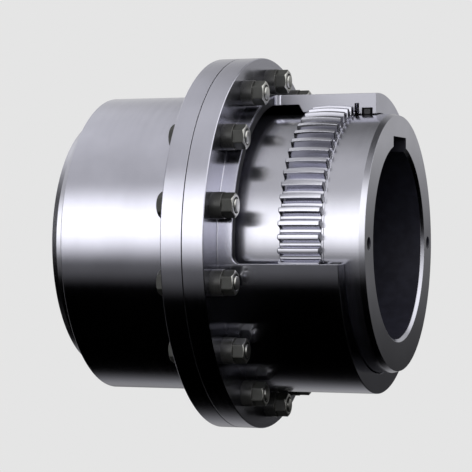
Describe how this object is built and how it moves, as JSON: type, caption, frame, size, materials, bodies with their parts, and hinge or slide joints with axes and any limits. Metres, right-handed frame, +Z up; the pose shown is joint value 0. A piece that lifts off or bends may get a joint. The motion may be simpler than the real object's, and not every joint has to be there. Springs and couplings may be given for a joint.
{
  "type": "gear coupling",
  "caption": "Flanged gear coupling with crowned hub teeth in toothed sleeves, bolted at the flanges, with a window cut in one sleeve.",
  "frame": {"origin": "on the coupling's axis, midway between the two flanges", "axes": "+X along the coupling's axis towards the half with the window, +Z up through the keyways, -Y towards the side that the window opens to"},
  "size_m": [0.3636, 0.4254, 0.4255],
  "materials": {
    "hub_steel": "fine turned",
    "sleeve_steel": "fine turned",
    "seal_rubber": "matt",
    "gasket_sheet": "matt",
    "fastener_steel": "dull",
    "collar_steel": "dark"
  },
  "bodies": {
    "left_hub_body": {"left_hub": "hub_steel"},
    "left_seal_body": {"left_seal": "seal_rubber"},
    "sleeve_body": {"left_flange": "sleeve_steel", "right_flange": "sleeve_steel", "left_sleeve": "sleeve_steel", "right_sleeve": "sleeve_steel", "flange_gasket": "gasket_sheet", "hex_nuts": "fastener_steel", "spacer_collars": "collar_steel", "flange_bolt_01": "fastener_steel", "flange_bolt_02": "fastener_steel", "flange_bolt_03": "fastener_steel", "flange_bolt_04": "fastener_steel", "flange_bolt_05": "fastener_steel", "flange_bolt_06": "fastener_steel", "flange_bolt_07": "fastener_steel", "flange_bolt_08": "fastener_steel", "flange_bolt_09": "fastener_steel", "flange_bolt_10": "fastener_steel", "flange_bolt_11": "fastener_steel", "flange_bolt_12": "fastener_steel", "flange_bolt_13": "fastener_steel", "flange_bolt_14": "fastener_steel"},
    "right_seal_body": {"right_seal": "seal_rubber"},
    "right_hub_body": {"right_hub": "hub_steel"}
  },
  "joints": [
    {"name": "left_float", "type": "slide", "parent": "left_hub_body", "child": "left_seal_body", "axis": [1, 0, 0], "range_m": [-0.0015, 0.0015]},
    {"name": "left_tilt", "type": "hinge", "parent": "left_seal_body", "child": "sleeve_body", "pos_m": [-0.1112, 0, 0], "axis": [0, 1, 0], "range_deg": [-0.5, 0.5]},
    {"name": "right_tilt", "type": "hinge", "parent": "sleeve_body", "child": "right_seal_body", "pos_m": [0.1112, 0, 0], "axis": [0, 1, 0], "range_deg": [-0.5, 0.5]},
    {"name": "right_float", "type": "slide", "parent": "right_seal_body", "child": "right_hub_body", "axis": [1, 0, 0], "range_m": [-0.0015, 0.0015]}
  ]
}
